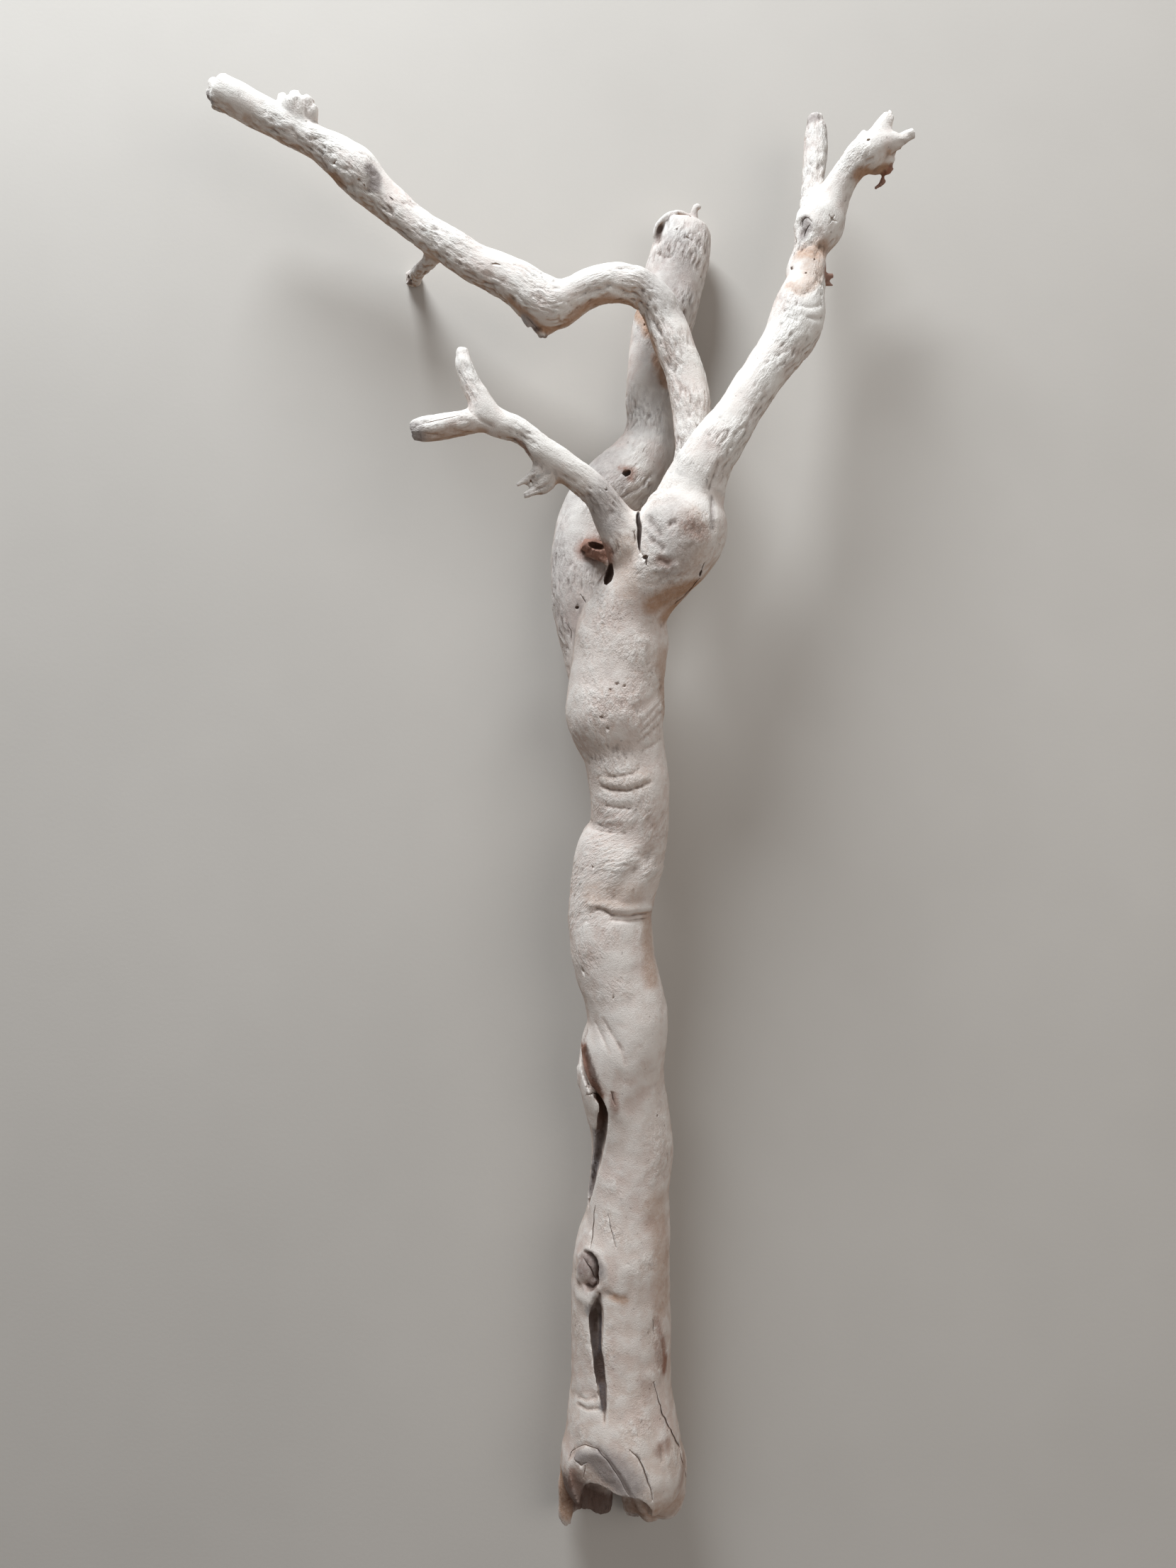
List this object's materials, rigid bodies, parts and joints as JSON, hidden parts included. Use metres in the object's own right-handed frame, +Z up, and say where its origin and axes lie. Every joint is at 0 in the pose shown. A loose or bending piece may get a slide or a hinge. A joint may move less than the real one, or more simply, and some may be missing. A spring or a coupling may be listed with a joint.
{
  "type": "grapevine branch",
  "caption": "Bare sandblasted grapevine branch with a thick cracked trunk, a knotted crown and twisting arms, lying on its back.",
  "frame": {"origin": "on the ground under the middle of the branch's bounding box, within a few millimetres", "axes": "+Y along the trunk from the sawn foot to the tips of the arms, +Z up from the ground that it lies on, +X to the side that the torn right arm leans to"},
  "size_m": [0.424, 0.9066, 0.122],
  "materials": {
    "bare_wood": "bare, sandblasted and matte, fibrous along the arms"
  },
  "bodies": {
    "root": {"grapevine_branch": "bare_wood"}
  },
  "joints": []
}
